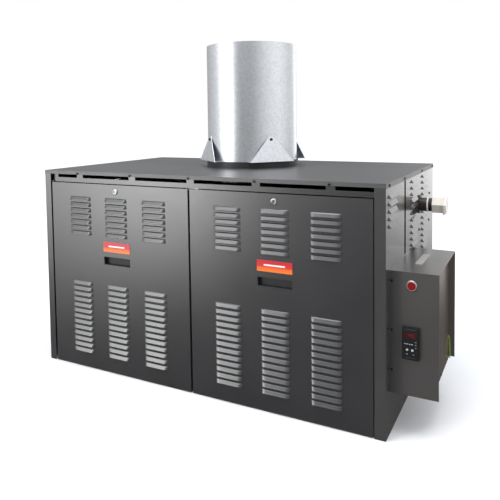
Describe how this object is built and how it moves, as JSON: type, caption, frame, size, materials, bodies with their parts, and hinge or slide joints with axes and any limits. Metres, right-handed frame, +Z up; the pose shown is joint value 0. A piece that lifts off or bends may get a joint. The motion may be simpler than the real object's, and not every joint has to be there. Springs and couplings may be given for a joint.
{
  "type": "gas water heater with burner assembly",
  "caption": "Floor-standing atmospheric gas water heater: louvred cabinet with two tilt-off doors, burner tray, finned exchanger, flue pipe and side control box.",
  "frame": {"origin": "floor level under the middle of the cabinet", "axes": "+Z up, -Y the front with the doors, +X the side with the control box and water connection"},
  "size_m": [1.529, 0.7842, 1.25],
  "materials": {
    "casing_paint": "satin powder coat",
    "galvanised": "spangled zinc",
    "dark_ring": "matte",
    "zinc_screws": "bright zinc",
    "chrome": "polished",
    "badge_face": "gloss",
    "refractory": "matte board",
    "copper": "satin copper",
    "tube_sheet_steel": "milled",
    "cast_iron": "rough cast",
    "gasket_fibre": "matte",
    "burner_steel": "heat tinted",
    "brass": "satin",
    "black_pipe": "oiled black",
    "yellow_lever": "vinyl dipped",
    "valve_casting": "cast",
    "red_knob": "gloss",
    "white_plastic": "satin",
    "black_rubber": "matte",
    "beige_plastic": "satin",
    "controller_black": "matte",
    "display_red": "gloss",
    "button_red": "gloss",
    "earth_wire": "satin"
  },
  "bodies": {
    "cabinet": {"base_pan": "galvanised", "burner_tray": "galvanised", "burner_tubes": "burner_steel", "button_rim": "chrome", "casing_screws": "zinc_screws", "centre_mullion": "galvanised", "clamp_ring": "black_rubber", "control_box_chassis": "galvanised", "control_box_cover": "casing_paint", "display_window": "display_red", "draft_hood": "galvanised", "earth_wire": "earth_wire", "exchanger_stands": "galvanised", "finned_tubes": "copper", "flow_header": "cast_iron", "gas_cock_body": "brass", "gas_inlet_pipe": "black_pipe", "gas_manifold": "black_pipe", "gas_pipes": "black_pipe", "gas_spuds": "brass", "gas_valves": "valve_casting", "header_gaskets": "gasket_fibre", "header_rail": "casing_paint", "hexagon_cap": "white_plastic", "ignition_module": "controller_black", "left_front_panel": "casing_paint", "left_rear_panel": "casing_paint", "pilot_burner": "burner_steel", "pivot_pins": "zinc_screws", "rear_panel": "casing_paint", "refractory_boards": "refractory", "return_header": "cast_iron", "right_front_panel": "casing_paint", "right_rear_panel": "casing_paint", "sealing_washer": "white_plastic", "temperature_controller": "controller_black", "top_panel": "casing_paint", "tube_sheets": "tube_sheet_steel", "union_body": "beige_plastic", "union_nut": "beige_plastic", "vent_collar": "dark_ring", "vent_pipe": "galvanised", "vent_stays": "galvanised", "water_nipple": "black_pipe"},
    "left_door": {"left_door_panel": "casing_paint", "left_badge": "badge_face", "left_door_pull": "dark_ring", "left_lock_barrel": "chrome"},
    "right_door": {"right_door_panel": "casing_paint", "right_badge": "badge_face", "right_door_pull": "dark_ring", "right_lock_barrel": "chrome"},
    "left_lock": {"left_lock_plug": "chrome"},
    "right_lock": {"right_lock_plug": "chrome"},
    "start_button": {"button_cap": "button_red"},
    "down_key": {"left_controller_key": "white_plastic"},
    "up_key": {"right_controller_key": "white_plastic"},
    "gas_cock_handle": {"gas_cock_lever": "yellow_lever"},
    "first_knob": {"first_valve_knob": "red_knob"},
    "second_knob": {"second_valve_knob": "red_knob"}
  },
  "joints": [
    {"name": "left_door_tilt", "type": "hinge", "parent": "cabinet", "child": "left_door", "pos_m": [-0.322, -0.381, 0.01], "axis": [1, 0, 0], "range_deg": [0, 35]},
    {"name": "right_door_tilt", "type": "hinge", "parent": "cabinet", "child": "right_door", "pos_m": [0.322, -0.381, 0.01], "axis": [1, 0, 0], "range_deg": [0, 35]},
    {"name": "left_lock_turn", "type": "hinge", "parent": "left_door", "child": "left_lock", "pos_m": [-0.322, -0.388, 0.691], "axis": [0, -1, 0], "range_deg": [0, 90]},
    {"name": "right_lock_turn", "type": "hinge", "parent": "right_door", "child": "right_lock", "pos_m": [0.322, -0.388, 0.691], "axis": [0, -1, 0], "range_deg": [0, 90]},
    {"name": "start_button_press", "type": "slide", "parent": "cabinet", "child": "start_button", "axis": [0, 1, 0], "range_m": [0, 0.004], "stiffness_N_per_m": 400},
    {"name": "down_key_press", "type": "slide", "parent": "cabinet", "child": "down_key", "axis": [0, 1, 0], "range_m": [0, 0.001], "stiffness_N_per_m": 500},
    {"name": "up_key_press", "type": "slide", "parent": "cabinet", "child": "up_key", "axis": [0, 1, 0], "range_m": [0, 0.001], "stiffness_N_per_m": 500},
    {"name": "gas_cock_turn", "type": "hinge", "parent": "cabinet", "child": "gas_cock_handle", "pos_m": [-0.56, -0.334, 0.33], "axis": [0, 1, 0], "range_deg": [0, 90]},
    {"name": "first_knob_turn", "type": "hinge", "parent": "cabinet", "child": "first_knob", "pos_m": [-0.43, -0.32, 0.372], "axis": [0, 0, 1], "range_deg": [0, 90]},
    {"name": "second_knob_turn", "type": "hinge", "parent": "cabinet", "child": "second_knob", "pos_m": [-0.27, -0.32, 0.372], "axis": [0, 0, 1], "range_deg": [0, 90]}
  ]
}
